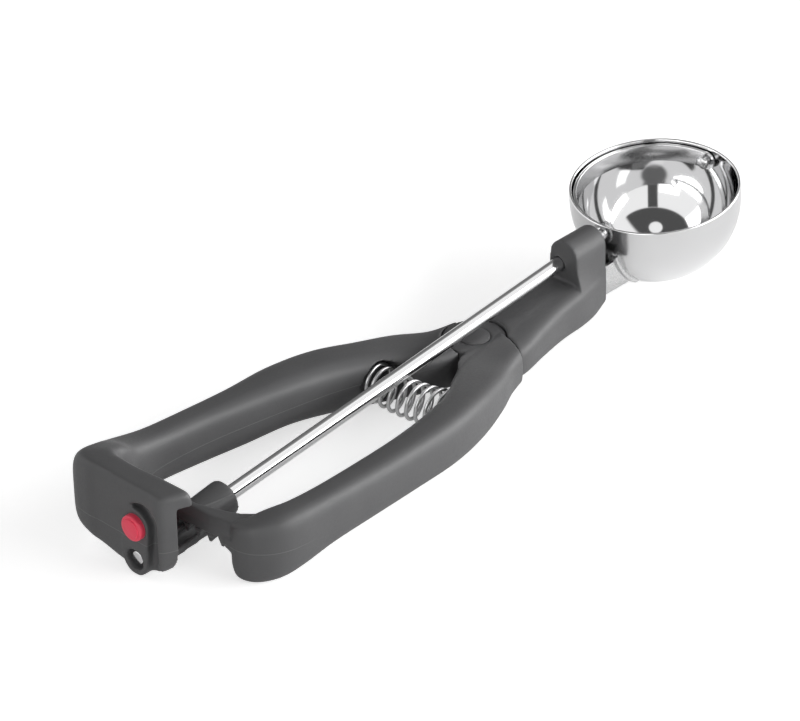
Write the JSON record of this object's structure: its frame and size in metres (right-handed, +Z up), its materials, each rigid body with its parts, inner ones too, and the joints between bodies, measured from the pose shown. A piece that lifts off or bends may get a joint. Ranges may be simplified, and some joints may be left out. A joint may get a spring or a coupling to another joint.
{
  "type": "lever ice cream scoop",
  "caption": "Squeeze-handle ice cream scoop: a sprung lever turns a geared rod that sweeps a scraper through a round steel bowl.",
  "frame": {"origin": "centre of the tool's outline in plan, on the table it lies on", "axes": "+X along the tool towards the bowl, +Y to the side of the fixed leg (away from the squeeze lever), +Z up, out of the bowl's mouth"},
  "size_m": [0.2372, 0.0642, 0.0313],
  "materials": {
    "charcoal_plastic": "satin moulded",
    "red_plastic": "satin",
    "polished_steel": "polished stainless",
    "satin_steel": "satin stainless",
    "spring_wire": "drawn wire"
  },
  "bodies": {
    "frame": {"frame_body": "charcoal_plastic", "bowl": "polished_steel", "bowl_bracket": "satin_steel", "size_stud": "red_plastic", "pivot_pin": "charcoal_plastic", "far_pivot_pin": "satin_steel", "return_spring": "spring_wire"},
    "lever": {"lever_handle": "charcoal_plastic"},
    "spindle": {"spindle_rod": "polished_steel", "pinion": "charcoal_plastic", "rod_collar": "satin_steel", "scraper_blade": "satin_steel", "scraper_rivet": "satin_steel"}
  },
  "joints": [
    {"name": "lever_pivot", "type": "hinge", "parent": "frame", "child": "lever", "pos_m": [0.01482, 0.00235, 0.0098], "axis": [0, 0, 1], "range_deg": [-5.5, 0], "stiffness_Nm_per_rad": 6, "springref_deg": 3.44, "deforming": ["return_spring"]},
    {"name": "spindle_turn", "type": "hinge", "parent": "frame", "child": "spindle", "pos_m": [0.09282, 0.00235, 0.025], "axis": [0.9953, 0, 0.0967], "range_deg": [-168, 0]}
  ],
  "couplings": [
    {"joint": "spindle_turn", "follows": "lever_pivot", "ratio": 30.507}
  ]
}
